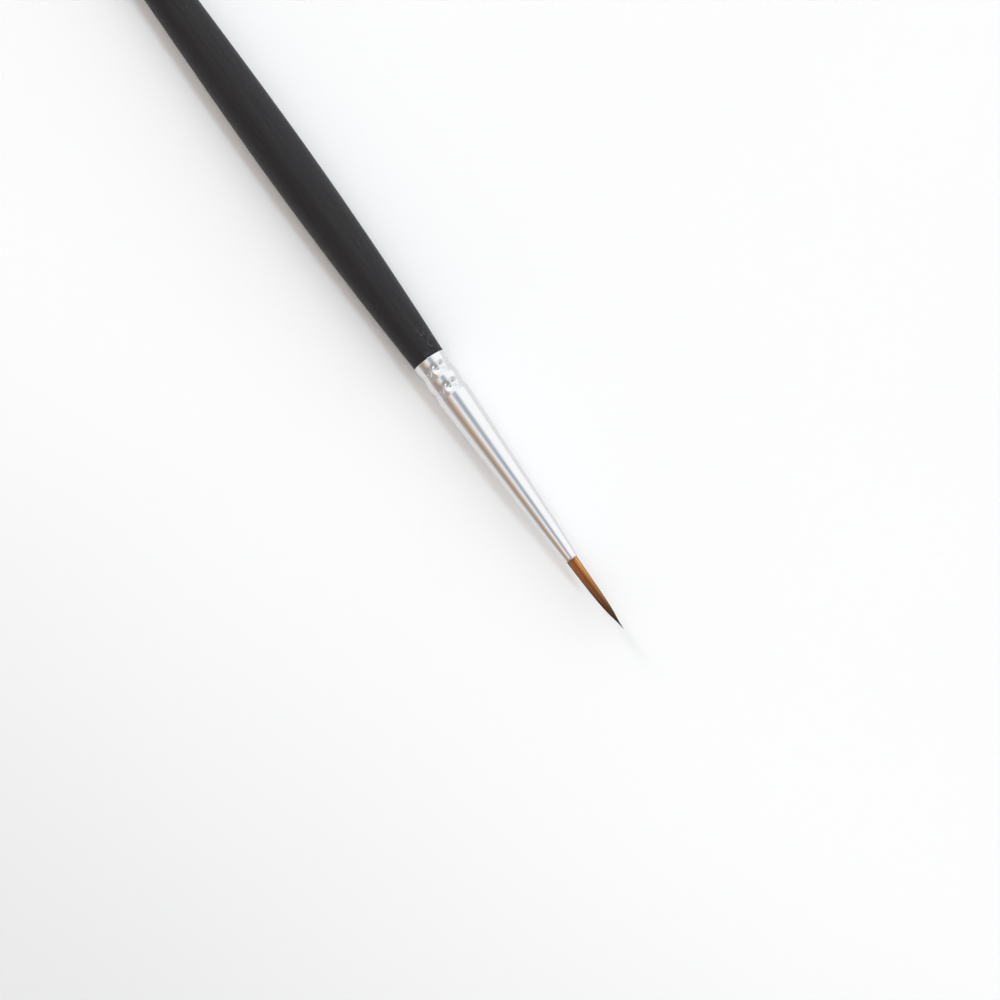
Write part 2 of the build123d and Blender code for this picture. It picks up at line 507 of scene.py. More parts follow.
def handle_outline(inset):
    """The handle from the tail's pole to the ferrule, moved inwards by inset."""
    tail, belly, front = TAIL_RADIUS - inset, BELLY_RADIUS - inset, FRONT_RADIUS - inset
    outline = []
    for step in range(TAIL_RINGS + 1):
        angle = math.pi / 2 * step / TAIL_RINGS
        outline.append((TAIL_CENTRE - tail * math.cos(angle), tail * math.sin(angle)))
    guides = (TAIL_CENTRE, TAIL_CENTRE + TAIL_FULLNESS, BELLY - BELLY_FULLNESS, BELLY)
    for step in range(1, TAPER_RINGS + 1):
        share = step / TAPER_RINGS
        rest = 1 - share
        weights = (rest**3, 3 * share * rest**2, 3 * share**2 * rest, share**3)
        x = sum(weight * guide for weight, guide in zip(weights, guides))
        outline.append((x, (weights[0] + weights[1]) * tail + (weights[2] + weights[3]) * belly))
    reach, drop = REAR - BELLY, belly - front
    bow = (reach**2 + drop**2) / (2 * drop)
    for step in range(1, FRONT_RINGS + 1):
        along = reach * step / FRONT_RINGS
        outline.append((BELLY + along, belly - bow + math.sqrt(bow**2 - along**2)))
    return outline


print(len(handle_outline(0)), "rings along the handle")

# %% [markdown]
# Matt lacquer is black but not flat. The wood's grain still telegraphs through as faint lengthwise
# streaks, the dulling agent in it makes it finely uneven, and dust lies on it as pale specks. At the
# ferrule the coat has a few pale nicks, where it was wiped or scraped lengthwise, and a thin brown
# band right at its edge.

# %% Lacquer
DARK_STREAK, PALE_STREAK = (0.0098, 0.0086, 0.0098, 1), (0.0165, 0.0148, 0.0168, 1)
SCRAPED = (REAR - 4.2 * MM, REAR - 1.5 * MM)
SCRAPED_SIDE = (0.1 * MM, 0.9 * MM)
EDGE_BAND = (REAR - 0.10 * MM, REAR - 0.02 * MM)


def lacquer():
    material, tree = new_material("matt_black_lacquer")
    own = object_coordinates(tree)
    along = object_coordinates(tree, (0.04, 1, 1))
    fine = object_coordinates(tree, (0.35, 1, 1))
    grain = place(tree, "ShaderNodeTexNoise", Vector=along, Scale=2600.0, Detail=4.0, Roughness=0.6)
    orange_peel = place(tree, "ShaderNodeTexNoise", Vector=fine, Scale=5200.0, Detail=2.0)
    dust_cells = place(tree, "ShaderNodeTexVoronoi", Vector=own, Scale=820.0)
    cell = place(tree, "ShaderNodeSeparateColor", Color=dust_cells.outputs["Color"])
    speck_size = Field(tree, cell.outputs[0]).eased(0.80, 1.0, 0.0, 0.055, "LINEAR")
    dust = Field(tree, dust_cells.outputs["Distance"]).math("LESS_THAN", speck_size)

    spot = place(tree, "ShaderNodeSeparateXYZ", Vector=own)
    place_along, place_across = Field(tree, spot.outputs["X"]), Field(tree, spot.outputs["Y"])
    near_ferrule = place_along.eased(*SCRAPED) * place_across.eased(*SCRAPED_SIDE)
    scratch_at = object_coordinates(tree, (0.16, 1, 1))
    scrapes = place(tree, "ShaderNodeTexNoise", Vector=scratch_at, Scale=12000.0, Detail=1.0)
    nick = Field(tree, scrapes.outputs[0]).eased(0.62, 0.74) * near_ferrule
    # A thin brown band is coloured in right at the coat's edge by the ferrule.
    edge = place_along.eased(*EDGE_BAND)

    streak = Field(tree, grain.outputs[0]).eased(0.3, 0.7)
    black = blend(tree, streak, DARK_STREAK, PALE_STREAK)
    dusted = blend(tree, dust * 0.6, black, paint(150, 146, 142))
    nicked = blend(tree, nick * 0.45, dusted, paint(158, 154, 152))
    edged = blend(tree, edge * 0.6, nicked, paint(64, 42, 30))
    height = Field(tree, grain.outputs[0]) * 0.7 + Field(tree, orange_peel.outputs[0]) * 0.3
    relief = place(tree, "ShaderNodeBump", Height=height, Strength=0.35, Distance=0.02 * MM).outputs[0]
    dull = Field(tree, orange_peel.outputs[0]).eased(0.3, 0.7, 0.50, 0.62)
    finish_with(tree, Base_Color=edged, Roughness=dull, Normal=relief, Specular_IOR_Level=0.34)
    return material


matt_lacquer = lacquer()
print(matt_lacquer.name, "is", len(matt_lacquer.node_tree.nodes), "nodes")

# %% [markdown]
# The coat's outline runs out along the handle, turns in over the thin edge inside the ferrule's rim,
# and runs back along the wood to the tail.

# %% The coat on the handle
edge_steps = [(REAR, FRONT_RADIUS - LACQUER * share) for share in (0.25, 0.5, 0.75)]
inner_side = list(reversed(handle_outline(LACQUER)))
handle_coat = turn("handle_coat", handle_outline(0) + edge_steps + inner_side, matt_lacquer)
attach(handle_coat, "root")
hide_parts("handle_lacquer")
print("handle_coat", len(handle_coat.data.polygons), "faces")

# %% [markdown]
# ## Ferrule
#
# A ferrule is drawn from one disc of aluminium, so it has no seam. Its shape follows a rule: a
# collar, a straight cone, a nose that rounds in to the mouth, and two crimps, each a shallow groove
# with twelve round dents. It could be turned and dented by hand, but Geometry Nodes can hold such a
# rule as a formula, and the formula says how far from the axis each point is. Each punch leaves a
# round dent, draws the thin metal down with it for some way round, and no two bite alike. A smooth
# maximum gives the dent its soft shoulder.

# %% The crimps as a formula
BITE_STEP = 2.7              # radians from one punch to the next, for how unevenly they bite
BITE_PER_METRE = 5000        # and along the axis, so that the two crimps differ


def crimped_collar(x, turn_angle, size):
    """How far the crimps press the collar's surface in, at x and at an angle round the axis."""
    dent = x * 0
    for crimp in CRIMPS:
        from_crimp = (x - crimp).math("ABSOLUTE")
        groove = from_crimp.eased(0, size["Crimp half length"], size["Groove depth"], 0)
        in_ring = (turn_angle / math.tau + size["Dimple phase"] / 360) * size["Dimples"]
        nearest = in_ring.math("ROUND")
        number = nearest.math("MODULO", size["Dimples"])
        bite = (number * BITE_STEP + crimp * BITE_PER_METRE).math("SINE") * size["Unevenness"] + 1
        from_dimple = (in_ring - nearest) * size["Collar radius"] * math.tau / size["Dimples"]
        away = (from_crimp * from_crimp + from_dimple * from_dimple).math("SQRT")
        pull = away.eased(0, size["Pull radius"], size["Pull depth"], 0)
        reach = away / size["Punch radius"]
        punch = (-(reach * reach) + 1) * size["Punch depth"]
        dimple = punch.math("SMOOTH_MAX", 0.0, size["Shoulder"])
        dent = dent + groove + (pull + dimple) * bite
    return dent


print("crimps at", [round((crimp - REAR) / MM, 2) for crimp in CRIMPS], "mm from the rear edge")

# %% [markdown]
# Without its crimps the ferrule is a cylinder, then a cone, and then a nose that bends in more and
# more towards the mouth. The nose starts in the cone's own direction, so the light runs on smoothly.

# %% The ferrule's outline as a formula
TAPER = (COLLAR_RADIUS - CONE_END_RADIUS) / (CONE_END - COLLAR_END)


def ferrule_radius(x, turn_angle, size):
    """The ferrule's outside radius, at x and at an angle round the axis."""
    nose = MOUTH - CONE_END
    cone = (x - COLLAR_END).math("MAXIMUM", 0.0) * TAPER
    past_cone = (x - CONE_END).math("MAXIMUM", 0.0)
    bow = (CONE_END_RADIUS - MOUTH_RADIUS - TAPER * nose) / nose**2
    plain = size["Collar radius"] - cone - past_cone * past_cone * bow
    return plain - crimped_collar(x, turn_angle, size)


print(f"the cone loses {TAPER:.4f} mm of radius each mm")

# %% [markdown]
# Flat grids are rolled up into stretches of tube. At a rim the stretch follows a quarter of a circle,
# and elsewhere it runs straight. A drawn tube is never quite true, so a slow wobble of less than a
# thousandth of a millimetre takes a little off the radius here and there.

# %% Rolling up a stretch of tube
FERRULE_SEGMENTS = 288
WOBBLE_PER_METRE = 260
WOBBLE_PEAK = 0.72           # nearly the noise's highest value, so that it hardly ever adds


def rolled_stretch(tree, size, start, end, inset_start, inset_end, rings, rim):
    """A grid rolled into a stretch of tube, with its depth below the outside at start and end."""
    counts = {"Vertices_X": rings + 1, "Vertices_Y": FERRULE_SEGMENTS + 1}
    grid = place(tree, "GeometryNodeMeshGrid", Size_X=1.0, Size_Y=1.0, **counts)
    position = place(tree, "GeometryNodeInputPosition").outputs[0]
    flat = place(tree, "ShaderNodeSeparateXYZ", Vector=position)
    turn_angle = (Field(tree, flat.outputs["Y"]) + 0.5) * math.tau
    share = Field(tree, flat.outputs["X"]) + 0.5
    run = sink = share
    if rim:
        quarter = share * (math.pi / 2)
        early, late = quarter.math("SINE"), quarter.math("COSINE") * -1 + 1
        run, sink = (early, late) if rim == "mouth" else (late, early)
    x = run * (end - start) + start
    inset = sink * (inset_end - inset_start) + inset_start
    radius = ferrule_radius(x, turn_angle, size) - inset
    sine, cosine = turn_angle.math("SINE"), turn_angle.math("COSINE")
    wobble_at = place(tree, "ShaderNodeCombineXYZ", X=x * WOBBLE_PER_METRE, Y=sine, Z=cosine)
    wobble = place(tree, "ShaderNodeTexNoise", Vector=wobble_at.outputs[0], Scale=1.0, Detail=1.0)
    radius = radius + (Field(tree, wobble.outputs[0]) - WOBBLE_PEAK) * size["Wobble"]
    spot = place(tree, "ShaderNodeCombineXYZ", X=x, Y=radius * sine, Z=radius * cosine).outputs[0]
    flat_grid = grid.outputs["Mesh"]
    return place(tree, "GeometryNodeSetPosition", Geometry=flat_grid, Position=spot).outputs[0]


print("the ferrule has", FERRULE_SEGMENTS, "points round it")

# %% [markdown]
# Drawn aluminium is bright but satin. Drawing leaves hair-thin lines along the tube, and handling
# leaves a few soft clouds. Both go into the roughness and into a very shallow relief, because the
# colour of clean metal hardly changes. Where the punches stretched the metal it is a little duller.

# %% Aluminium
PRESSED = (0.3 * MM, 0.8 * MM)    # from the middle of a crimp


def aluminium():
    material, tree = new_material("drawn_aluminium")
    own = object_coordinates(tree)
    drawn = object_coordinates(tree, (0.02, 1, 1))
    handled = object_coordinates(tree, (0.5, 1, 1))
    lines = place(tree, "ShaderNodeTexNoise", Vector=drawn, Scale=9000.0, Detail=3.0, Roughness=0.7)
    clouds = place(tree, "ShaderNodeTexNoise", Vector=handled, Scale=900.0, Detail=2.0)
    tone = blend(tree, lines.outputs[0], (0.70, 0.70, 0.705, 1), (0.78, 0.78, 0.785, 1))
    along = Field(tree, place(tree, "ShaderNodeSeparateXYZ", Vector=own).outputs["X"])
    pressed = along * 0
    for crimp in CRIMPS:
        pressed = pressed + (along - crimp).math("ABSOLUTE").eased(*PRESSED, 0.06, 0)
    satin = Field(tree, clouds.outputs[0]).eased(0.3, 0.7, 0.13, 0.20) + pressed
    shallow = {"Strength": 0.10, "Distance": 0.004 * MM}
    relief = place(tree, "ShaderNodeBump", Height=lines.outputs[0], **shallow).outputs[0]
    finish_with(tree, Base_Color=tone, Metallic=1.0, Roughness=satin, Normal=relief)
    return material


drawn_metal = aluminium()
print(drawn_metal.name, "is", len(drawn_metal.node_tree.nodes), "nodes")

# %% [markdown]
# A node tree makes nothing until an object carries it. Here an empty object carries it as a modifier,
# each size goes in by its input's identifier, and the result is kept as a plain mesh, so that nothing
# is left to be worked out later. The same three helpers serve the ferrule, the hair and the thread.

# %% Helpers for trees that make a mesh
def named_inputs(tree, sizes):
    """Adds a named input for each size, and returns them as fields."""
    for name, value in sizes.items():
        kind = "NodeSocketInt" if isinstance(value, int) else "NodeSocketFloat"
        slot = tree.interface.new_socket(name=name, in_out="INPUT", socket_type=kind)
        slot.default_value = value
    tree.interface.new_socket(name="Geometry", in_out="OUTPUT", socket_type="NodeSocketGeometry")
    group = tree.nodes.new("NodeGroupInput")
    return {name: Field(tree, group.outputs[name]) for name in sizes}


def end_tree(tree, geometry, material):
    """Ends a tree the way every tree here ends."""
    real = place(tree, "GeometryNodeRealizeInstances", Geometry=geometry)
    smooth = place(tree, "GeometryNodeSetShadeSmooth", Geometry=real.outputs[0])
    dressed = place(tree, "GeometryNodeSetMaterial", Geometry=smooth.outputs[0], Material=material)
    tree.links.new(dressed.outputs[0], tree.nodes.new("NodeGroupOutput").inputs[0])


def apply_nodes(name, tree):
    """Runs a node tree on an empty object and keeps the result as a plain mesh."""
    empty_mesh = bpy.data.meshes.new(name + "_start")
    start = bpy.data.objects.new(name + "_start", empty_mesh)
    bpy.context.scene.collection.objects.link(start)
    modifier = start.modifiers.new("rule", "NODES")
    modifier.node_group = tree
    for slot in tree.interface.items_tree:
        if slot.in_out == "INPUT":
            modifier[slot.identifier] = slot.default_value
    seen = start.evaluated_get(bpy.context.evaluated_depsgraph_get())
    mesh = bpy.data.meshes.new_from_object(seen)
    mesh.name = name
    start.modifiers.clear()
    bpy.data.objects.remove(start)
    made = bpy.data.objects.new(name, mesh)
    bpy.context.scene.collection.objects.link(made)
    return made


print("made named_inputs, end_tree and apply_nodes")

# %% [markdown]
# The ferrule's wall is one closed surface of ten stretches: over the rear rim, along the outside to
# the mouth, over its rim, and back along the inside. Each stretch is given as its two ends, its depth
# below the outside at both, its number of rings, and the rim that it rounds. Where the shape hardly
# changes a few rings do, and the dented collar has many.

# %% The ferrule
WELD = 0.0005 * MM


def ferrule_tree():
    tree = bpy.data.node_groups.new("ferrule_rule", "GeometryNodeTree")
    size = named_inputs(tree, {
        "Collar radius": COLLAR_RADIUS,
        "Crimp half length": 1.15 * MM,
        "Groove depth": 0.13 * MM,
        "Dimples": 12,
        "Dimple phase": 4.5,
        "Pull radius": 0.8 * MM,
        "Pull depth": 0.06 * MM,
        "Punch radius": 0.42 * MM,
        "Punch depth": 0.085 * MM,
        "Shoulder": 0.04 * MM,
        "Unevenness": 0.1,
        "Wobble": 0.0012 * MM,
    })
    stretches = (
        (REAR, REAR + RIM, RIM, 0, 4, "rear"),
        (REAR + RIM, COLLAR_END, 0, 0, 120, ""),
        (COLLAR_END, CONE_END, 0, 0, 16, ""),
        (CONE_END, MOUTH - RIM, 0, 0, 16, ""),
        (MOUTH - RIM, MOUTH, 0, RIM, 4, "mouth"),
        (MOUTH, MOUTH, RIM, WALL, 1, ""),
        (MOUTH, CONE_END, WALL, WALL, 8, ""),
        (CONE_END, COLLAR_END, WALL, WALL, 6, ""),
        (COLLAR_END, REAR, WALL, WALL, 60, ""),
        (REAR, REAR, WALL, RIM, 1, ""),
    )
    joined = tree.nodes.new("GeometryNodeJoinGeometry")
    for stretch in stretches:
        tree.links.new(rolled_stretch(tree, size, *stretch), joined.inputs[0])
    closed = place(tree, "GeometryNodeMergeByDistance", Geometry=joined.outputs[0], Distance=WELD)
    end_tree(tree, closed.outputs[0], drawn_metal)
    return tree


ferrule_shell = apply_nodes("ferrule_shell", ferrule_tree())
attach(ferrule_shell, "root")
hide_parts("ferrule")
print("ferrule_shell", len(ferrule_shell.data.polygons), "faces")

# %% [markdown]
# ## Hair
#
# Sable tapers to a fine natural tip, and every hair is as long as it grew. Its colour differs from
# hair to hair, is paler at the root and nearly black at the tip. On two sides of the tuft painted
# light gives the hairs a lighter, golden tone, and right at the ferrule's mouth a painted shade
# darkens them. The rule further down stores on each point how far along its hair it is, how dark
# that hair is and how much painted light it gets, so the material only has to read these and add
# fine streaks.

# %% Sable
def stored(tree, kind, name):
    """A value that was stored on the mesh."""
    return Field(tree, place(tree, "ShaderNodeAttribute", attribute_name=name).outputs[kind])


def sable():
    material, tree = new_material("sable_hair")
    along = stored(tree, "Fac", "along")
    # Painted light: how much of the lighter golden colour each side of the tuft takes, fading towards the
    # tip.
    golden = stored(tree, "Fac", "golden") * along.eased(0.4, 0.82, 1.0, 0.2)
    drawn = object_coordinates(tree, (0.05, 1, 1))
    streaks = place(tree, "ShaderNodeTexNoise", Vector=drawn, Scale=14000.0, Detail=2.0)
    mottle = stored(tree, "Fac", "shade") * 0.75 + Field(tree, streaks.outputs[0]) * 0.25
    tone = mottle.eased(0.26, 0.74)

    # Brown is the hair's own colour; the golden range is a lighter, painted lit copy of it.
    brown = blend(tree, tone, paint(84, 36, 9), paint(166, 89, 30))
    gold = blend(tree, tone, paint(188, 120, 54), paint(255, 196, 116))
    body = blend(tree, golden, brown, gold)
    rooted = blend(tree, along.eased(0.0, 0.35, 0.35, 0.0), body, paint(156, 98, 30))
    dark_tip = blend(tree, along.eased(0.4, 1.0), rooted, paint(46, 28, 18))
    # Painted shade: the hairs are darkened right at the ferrule's mouth.
    painted_mouth_shade = blend(tree, along.eased(0.0, 0.03, 1.0, 0.0), dark_tip, paint(38, 22, 14))
    finish_with(tree, Base_Color=painted_mouth_shade, Roughness=0.42, Specular_IOR_Level=0.35)
    return material


sable_finish = sable()
print(sable_finish.name, "is", len(sable_finish.node_tree.nodes), "nodes")

# %% [markdown]
# The tuft's outline is a curve through a few points, its thickness at each share of its length. The
# whole tuft bends a little to one side, as a brush does that was shaped wet. Damp hairs cling in fine
# locks, and on two sides of the tuft painted light makes the locks golden.

# %% The outline of the tuft and its locks
TUFT_OUTLINE = (
    (0.0, 1.0), (0.3, 0.90), (0.5, 0.80), (0.65, 0.68),
    (0.76, 0.52), (0.84, 0.31), (0.92, 0.13), (1.0, 0.02),
)
SWEEP = 0.205 * MM
SWEEP_POWER = 1.75


def tuft_share(tree, along):
    """The tuft's radius as a share of that at the mouth, at a share of its length."""
    node = place(tree, "ShaderNodeFloatCurve", Value=along)
    curve = node.mapping.curves[0]
    for point, spot in zip(curve.points, (TUFT_OUTLINE[0], TUFT_OUTLINE[-1])):
        point.location = spot
    for spot in TUFT_OUTLINE[1:-1]:
        curve.points.new(*spot)
    node.mapping.update()
    return Field(tree, node.outputs[0])


def swept(along, size):
    """How far to one side the tuft is bent, at a share of its length."""
    return along.math("POWER", SWEEP_POWER) * size["Sweep"]


def lock_number(angle, size):
    """Which lock a hair belongs to, from its angle in radians."""
    share = (angle / math.tau).math("FRACT")
    return (share * size["Locks"]).math("ROUND").math("MODULO", size["Locks"])


def painted_light_side(angle):
    """1 on the sides of the tuft where light is painted into the hairs as a golden tone, from an angle in
    radians.
    """
    degrees = (angle / math.tau).math("FRACT") * 360
    right = degrees.eased(10, 16) * degrees.eased(56, 95, 1, 0.35) * degrees.eased(120, 150, 1, 0)
    left = degrees.eased(255, 290) * degrees.eased(315, 345, 0.42, 0)
    return right + left


print("the tuft is", round(HAIR_LENGTH / MM, 2), "mm long and sweeps", SWEEP / MM, "mm aside")

# %% [markdown]
# Four helpers serve the hairs and the thread: an even random number for each hair, values kept on the
# points for the material to read, a straight curve to start from, and a curve made solid. Each use of
# chance has its own seed in SEED, so every run gives the same tuft.

# %% Helpers for hairs and thread
SEED = {"angle": 3, "length": 5, "hair": 11, "lock": 13, "thickness": 17}


def chance(tree, low, high, use, number):
    """An even random number from low to high, for each hair or lock."""
    node = place(tree, "FunctionNodeRandomValue", data_type="FLOAT", ID=number, Seed=SEED[use])
    low_slot, high_slot = [slot for slot in node.inputs if slot.type == "VALUE"][:2]
    low_slot.default_value, high_slot.default_value = low, high
    return Field(tree, [slot for slot in node.outputs if slot.type == "VALUE"][0])


def store(tree, geometry, kind, **values):
    """Keeps these values on the points of the geometry, under their names."""
    for name, value in values.items():
        kept = place(tree, "GeometryNodeStoreNamedAttribute", data_type=kind, Geometry=geometry, Name=name)
        wire(tree, value, [slot for slot in kept.inputs if slot.name == "Value"][0])
        geometry = kept.outputs[0]
    return geometry


def straight_curve(tree, points):
    """A straight curve with so many points, to be laid where it belongs."""
    line = place(tree, "GeometryNodeCurvePrimitiveLine")
    return place(tree, "GeometryNodeResampleCurve", Curve=line.outputs[0], Count=points).outputs[0]


def thick_curve(tree, curve, radius, section):
    """A curve made solid, with that section at that radius, and closed ends."""
    sized = place(tree, "GeometryNodeSetCurveRadius", Curve=curve, Radius=radius)
    own_radius = place(tree, "GeometryNodeInputRadius").outputs[0]
    drawn = {"Curve": sized.outputs[0], "Profile_Curve": section.outputs[0], "Scale": own_radius}
    return place(tree, "GeometryNodeCurveToMesh", Fill_Caps=True, **drawn).outputs[0]


print("made chance, store, straight_curve and thick_curve")

# %% [markdown]
# The hairs stand in the ferrule's mouth like seeds in a sunflower: each next hair is turned by the
# golden angle and set a little further out, so they fill the round evenly with no pattern. Each runs
# from the tie to the point, and those further out end sooner, which gives the tuft its long slope.
# The outline gathers a hair in, its lock draws it a little aside, and it wanders slowly by itself.

# %% The hairs
HAIR_POINTS = 15
GOLDEN_ANGLE = math.radians(137.508)
LOCK_PULL, LOCK_RIDGE = 0.6, 0.05
TIED_IN = 0.07               # how much closer the hairs stand where they are tied
WANDER = 0.05 * MM
FINE_TIP = 0.14              # thickness of a hair's tip, as a share of the hair's own


def loose_strands(tree, size):
    """A straight strand for each hair, numbered and not yet in place."""
    seeds = place(tree, "GeometryNodePoints", Count=size["Hairs"])
    index = place(tree, "GeometryNodeInputIndex").outputs[0]
    numbered = store(tree, seeds.outputs[0], "INT", hair=index)
    strand = straight_curve(tree, HAIR_POINTS)
    strands = place(tree, "GeometryNodeInstanceOnPoints", Points=numbered, Instance=strand)
    return place(tree, "GeometryNodeRealizeInstances", Geometry=strands.outputs[0]).outputs[0]


def hair_strands(tree, size):
    strands = loose_strands(tree, size)
    number = place(tree, "GeometryNodeInputNamedAttribute", data_type="INT", Name="hair").outputs[0]
    hair = Field(tree, number)
    factor = Field(tree, place(tree, "GeometryNodeSplineParameter").outputs["Factor"])
    shown = (factor * (HAIR_POINTS - 1) - 1) / (HAIR_POINTS - 2)
    tied = shown.math("LESS_THAN", -0.001)
    shown = shown.math("MAXIMUM", 0.0)
    rank = (hair + 0.5) / size["Hairs"]
    own_length = rank.math("POWER", 1.2) * chance(tree, 0.02, 0.28, "length", number) * -1 + 1
    along = shown * own_length
    x = along * size["Length"] + MOUTH - tied * (MOUTH - HAIR_BUTT)

    straight_angle = hair * GOLDEN_ANGLE + chance(tree, -0.08, 0.08, "angle", number)
    in_lock = straight_angle * size["Locks"]
    angle = straight_angle - in_lock.math("SINE") * LOCK_PULL / size["Locks"]
    ridge = in_lock.math("COSINE") * LOCK_RIDGE + 1
    from_axis = rank.math("SQRT") * (size["Mouth radius"] - size["Hair radius"]) * ridge
    gathered = tuft_share(tree, along) * from_axis * (tied * -TIED_IN + 1)
    wander_at = place(tree, "ShaderNodeCombineXYZ", X=along * 2.2, Y=hair * 7.31).outputs[0]
    slow = {"noise_dimensions": "2D", "Scale": 1.0, "Detail": 0.0}
    wander = place(tree, "ShaderNodeTexNoise", Vector=wander_at, **slow)
    spread = (Field(tree, wander.outputs[0]) - 0.5) * along.eased(0, 0.4, 0, WANDER)
    radius = (gathered + spread).math("MAXIMUM", 0.0)
    y = radius * angle.math("SINE") + swept(along, size)
    spot = place(tree, "ShaderNodeCombineXYZ", X=x, Y=y, Z=radius * angle.math("COSINE")).outputs[0]
    combed = place(tree, "GeometryNodeSetPosition", Geometry=strands, Position=spot).outputs[0]

    lock = lock_number(straight_angle, size)
    shade = chance(tree, 0, 1, "hair", number) * 0.4 + chance(tree, 0, 1, "lock", lock) * 0.6
    # Besides how far along and how dark, the painted light on the tuft's sides is kept for the material.
    kept = store(tree, combed, "FLOAT", shade=shade, along=along - tied, golden=painted_light_side(angle))
    taper = shown.eased(0.5, 1.0, 1.0, FINE_TIP)
    thickness = taper * chance(tree, 0.75, 1.15, "thickness", number) * size["Hair radius"]
    section = place(tree, "GeometryNodeCurvePrimitiveCircle", Resolution=4, Radius=1.0)
    return thick_curve(tree, kept, thickness, section)


print("each hair has", HAIR_POINTS, "points, the first of them at the tie")

# %% [markdown]
# A core of packed hair keeps light from passing between the hairs. It follows the same outline and
# the same bend, a little further in, and has the colours of the locks round it, with the same
# painted light on two sides.

# %% The core
CORE_POINTS, CORE_CORNERS = 60, 36
CORE_REACH = 0.96            # the core ends before the finest hairs do


def tuft_core(tree, size):
    factor = Field(tree, place(tree, "GeometryNodeSplineParameter").outputs["Factor"])
    x = factor * (HAIR_TIP - HAIR_BUTT) * CORE_REACH + HAIR_BUTT
    along = ((x - MOUTH) / size["Length"]).math("MAXIMUM", 0.0)
    spot = place(tree, "ShaderNodeCombineXYZ", X=x, Y=swept(along, size)).outputs[0]
    line = straight_curve(tree, CORE_POINTS)
    bent = place(tree, "GeometryNodeSetPosition", Geometry=line, Position=spot).outputs[0]
    radius = tuft_share(tree, along) * size["Mouth radius"] * size["Core share"]
    section = place(tree, "GeometryNodeCurvePrimitiveCircle", Resolution=CORE_CORNERS, Radius=1.0)
    solid = thick_curve(tree, bent, radius, section)

    position = place(tree, "GeometryNodeInputPosition").outputs[0]
    own = place(tree, "ShaderNodeSeparateXYZ", Vector=position)
    along = (Field(tree, own.outputs["X"]) - MOUTH) / size["Length"]
    across = Field(tree, own.outputs["Y"]) - swept(along.math("MAXIMUM", 0.0), size)
    angle = across.math("ARCTAN2", own.outputs["Z"])
    shade = chance(tree, 0, 0.7, "lock", lock_number(angle, size))
    # The core gets the same painted light on its sides as the hairs.
    return store(tree, solid, "FLOAT", shade=shade, along=along, golden=painted_light_side(angle))


print("the core is", CORE_POINTS, "rings of", CORE_CORNERS, "points")

# %% [markdown]
# Hairs and core together make the tuft, each with its root inside the ferrule.

# %% The tuft
def tuft_tree():
    tree = bpy.data.node_groups.new("tuft_rule", "GeometryNodeTree")
    size = named_inputs(tree, {
        "Hairs": 620,
        "Locks": 17,
        "Mouth radius": HAIR_MOUTH_RADIUS,
        "Hair radius": 0.040 * MM,
        "Core share": 0.88,
        "Length": HAIR_LENGTH,
        "Sweep": SWEEP,
    })
    both = tree.nodes.new("GeometryNodeJoinGeometry")
    tree.links.new(hair_strands(tree, size), both.inputs[0])
    tree.links.new(tuft_core(tree, size), both.inputs[0])
    end_tree(tree, both.outputs[0], sable_finish)
    return tree


sable_tuft = apply_nodes("sable_tuft", tuft_tree())
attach(sable_tuft, "root")
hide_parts("hair_tuft")
print("sable_tuft", len(sable_tuft.data.polygons), "faces")

# %% [markdown]
# ## Thread round the roots
#
# The tuft is tied before it goes into the ferrule, with waxed thread wound seven times and pulled
# tight. It is hidden, but anyone who takes the brush apart meets it. A spiral curve carries
# a section of three lobes that turns as it goes, which is how three plies look when twisted.

# %% Thread
THREAD_RADIUS = 0.06 * MM
THREAD_POINTS = 420
PLIES = 3
PLY_VALLEY = 0.72            # radius between two plies, as a share of the thread's


def waxed_thread():
    material, tree = new_material("waxed_thread")
    fibres = place(tree, "ShaderNodeTexNoise", Vector=object_coordinates(tree), Scale=30000.0, Detail=3.0)
    tone = blend(tree, fibres.outputs[0], paint(186, 168, 132), paint(232, 222, 196))
    relief = place(tree, "ShaderNodeBump", Height=fibres.outputs[0], Strength=0.3, Distance=0.01 * MM)
    finish_with(tree, Base_Color=tone, Roughness=0.6, Normal=relief.outputs[0], Sheen_Weight=0.15)
    return material


def thread_tree():
    low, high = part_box("binding_thread")
    tree = bpy.data.node_groups.new("thread_rule", "GeometryNodeTree")
    size = named_inputs(tree, {
        "Turns": 7,
        "Thread radius": THREAD_RADIUS,
        "Wound radius": high.y - THREAD_RADIUS,
        "Plies twist": 260.0,
    })
    start = low.x + THREAD_RADIUS
    length = high.x - low.x - 2 * THREAD_RADIUS
    factor = Field(tree, place(tree, "GeometryNodeSplineParameter").outputs["Factor"])
    angle = factor * size["Turns"] * math.tau
    round_y = size["Wound radius"] * angle.math("SINE")
    round_z = size["Wound radius"] * angle.math("COSINE")
    spot = place(tree, "ShaderNodeCombineXYZ", X=factor * length + start, Y=round_y, Z=round_z)
    line = straight_curve(tree, THREAD_POINTS)
    spiral = place(tree, "GeometryNodeSetPosition", Geometry=line, Position=spot.outputs[0])
    twist = factor * size["Plies twist"]
    twisted = place(tree, "GeometryNodeSetCurveTilt", Curve=spiral.outputs[0], Tilt=twist)
    lobes = place(tree, "GeometryNodeCurveStar", Points=PLIES, Inner_Radius=PLY_VALLEY, Outer_Radius=1.0)
    solid = thick_curve(tree, twisted.outputs[0], size["Thread radius"], lobes)
    end_tree(tree, solid, waxed_thread())
    return tree


wound_thread = apply_nodes("wound_thread", thread_tree())
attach(wound_thread, "root")
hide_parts("binding_thread")
print("wound_thread", len(wound_thread.data.polygons), "faces")

# %% [markdown]
# ## Wood, glue and cement
#
# Three solids stay as the solid model has them, because they are plain turned or filled shapes and lie
# inside: the birch handle under its coat, the film of glue on its tenon, and the cement round the
# roots. Each gets the look it has when a brush is cut open.

